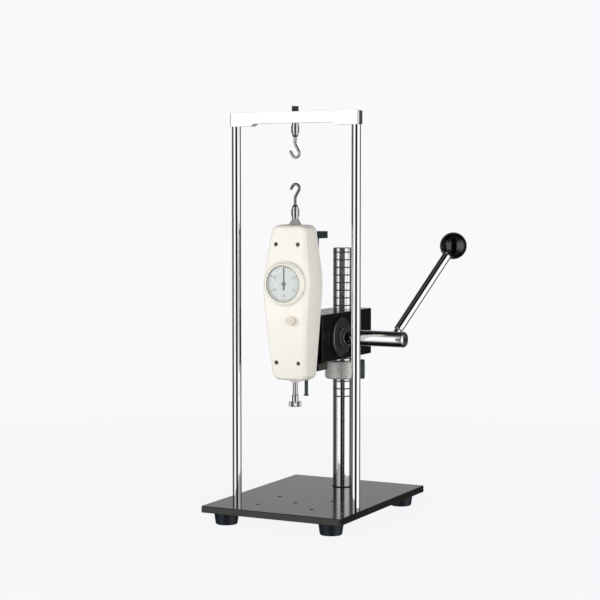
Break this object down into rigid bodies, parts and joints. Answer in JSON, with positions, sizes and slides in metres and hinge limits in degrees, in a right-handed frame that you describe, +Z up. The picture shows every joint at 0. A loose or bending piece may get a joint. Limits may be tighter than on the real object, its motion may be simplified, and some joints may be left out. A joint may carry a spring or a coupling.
{
  "type": "manual force test stand",
  "caption": "Lever-driven force test stand: base plate, chrome portal with hook, ringed column, and a rack slide that carries a dial force gauge with hook and flat head.",
  "frame": {"origin": "mouth of the centre fixture hole on the base plate's top face, on the force axis", "axes": "+Z up along the force axis, +X to the right where the lever is, +Y to the rear where the column is"},
  "size_m": [0.3146, 0.31, 0.6233],
  "materials": {
    "base_paint": "gloss black paint",
    "foot_rubber": "moulded black rubber",
    "chrome_plate": "hard chrome, ground and polished",
    "beam_steel": "bright ground steel",
    "zinc_steel": "bright zinc plate",
    "dark_steel": "blackened steel",
    "nickel_steel": "polished nickel plate",
    "gear_steel": "machined steel",
    "bush_bronze": "turned bronze",
    "black_anodised": "black anodised",
    "cover_grey": "dark grey anodised",
    "collar_metal": "sandblasted steel",
    "ball_bakelite": "polished black phenolic",
    "case_cream": "moulded cream plastic",
    "ring_cream": "moulded cream plastic, glossy",
    "dial_print": "printed dial",
    "window": "clear window",
    "pointer_paint": "black",
    "knob_beige": "moulded beige plastic"
  },
  "bodies": {
    "stand": {"base_plate": "base_paint", "foot_front_left": "foot_rubber", "foot_front_right": "foot_rubber", "foot_rear_left": "foot_rubber", "foot_rear_right": "foot_rubber", "foot_screws": "zinc_steel", "post_left": "chrome_plate", "post_right": "chrome_plate", "post_base_screws": "zinc_steel", "post_top_screws": "zinc_steel", "crossbeam": "beam_steel", "beam_stud": "dark_steel", "beam_nut": "dark_steel", "column": "chrome_plate", "column_screw": "zinc_steel"},
    "upper_hook": {"upper_hook_socket": "nickel_steel", "upper_hook": "nickel_steel"},
    "collar": {"support_collar": "collar_metal"},
    "collar_screw": {"collar_thumbscrew": "dark_steel"},
    "head": {"head_block": "black_anodised", "head_clamp_screws": "zinc_steel", "top_lock_screw": "dark_steel", "rack_guide_bushes": "bush_bronze", "bearing_cover_right": "cover_grey", "bearing_cover_left": "black_anodised", "cover_screws": "zinc_steel", "shaft_bushes": "bush_bronze"},
    "lever": {"pinion": "gear_steel", "pinion_key": "zinc_steel", "pinion_shaft": "chrome_plate", "lever_lock_screw": "dark_steel", "shaft_retaining_ring": "zinc_steel", "lever_rod": "chrome_plate", "lever_ball": "ball_bakelite"},
    "slide": {"rack_bar": "gear_steel", "slide_plate": "black_anodised", "slide_arm_bottom": "black_anodised", "slide_arm_top": "black_anodised", "arm_screws": "zinc_steel", "rack_bar_screws": "zinc_steel", "stop_screw": "dark_steel", "stop_nut": "zinc_steel", "gauge_mount_screws": "zinc_steel", "gauge_front_shell": "case_cream", "gauge_back_shell": "case_cream", "gauge_shell_screws": "dark_steel", "gauge_top_boss": "nickel_steel", "gauge_bottom_boss": "case_cream", "movement_plate": "zinc_steel", "measuring_springs": "zinc_steel"},
    "gauge_rod": {"measuring_rod": "nickel_steel", "flat_head": "nickel_steel"},
    "dial": {"dial_ring": "ring_cream", "dial_face": "dial_print", "dial_window": "window"},
    "pointer": {"pointer_arbor": "pointer_paint", "pointer": "pointer_paint"},
    "mode_knob": {"mode_knob": "knob_beige"},
    "lower_hook": {"lower_hook_socket": "nickel_steel", "lower_hook": "nickel_steel"}
  },
  "joints": [
    {"name": "collar_height", "type": "slide", "parent": "stand", "child": "collar", "axis": [0, 0, 1], "range_m": [-0.035, 0.012]},
    {"name": "head_height", "type": "slide", "parent": "collar", "child": "head", "axis": [0, 0, 1], "range_m": [-0.006, 0.012]},
    {"name": "collar_screw_turn", "type": "hinge", "parent": "collar", "child": "collar_screw", "pos_m": [0.02673, 0.17762, 0.187], "axis": [0.891, 0.454, 0], "range_deg": [-360, 360]},
    {"name": "gauge_slide", "type": "slide", "parent": "head", "child": "slide", "axis": [0, 0, 1], "range_m": [-0.1, 0]},
    {"name": "lever_turn", "type": "hinge", "parent": "head", "child": "lever", "pos_m": [0, 0.0918, 0.245], "axis": [1, 0, 0], "range_deg": [0, 212.5]},
    {"name": "gauge_rod_travel", "type": "slide", "parent": "slide", "child": "gauge_rod", "axis": [0, 0, 1], "range_m": [0, 0.01], "stiffness_N_per_m": 3000, "deforming": ["measuring_springs"]},
    {"name": "pointer_turn", "type": "hinge", "parent": "slide", "child": "pointer", "pos_m": [0, -0.037, 0.332], "axis": [0, 1, 0], "range_deg": [0, 300.5]},
    {"name": "dial_turn", "type": "hinge", "parent": "slide", "child": "dial", "pos_m": [0, -0.037, 0.332], "axis": [0, 1, 0], "continuous": true},
    {"name": "mode_knob_turn", "type": "hinge", "parent": "slide", "child": "mode_knob", "pos_m": [0.011, -0.037, 0.2776], "axis": [0, 1, 0], "range_deg": [0, 90]},
    {"name": "upper_hook_swivel", "type": "hinge", "parent": "stand", "child": "upper_hook", "pos_m": [0, 0, 0.56], "axis": [0, 0, 1], "continuous": true},
    {"name": "lower_hook_swivel", "type": "hinge", "parent": "gauge_rod", "child": "lower_hook", "pos_m": [0, 0, 0.435], "axis": [0, 0, 1], "continuous": true}
  ],
  "couplings": [
    {"joint": "lever_turn", "follows": "gauge_slide", "rad_per_m": -37.037},
    {"joint": "pointer_turn", "follows": "gauge_rod_travel", "rad_per_m": 523.56}
  ]
}
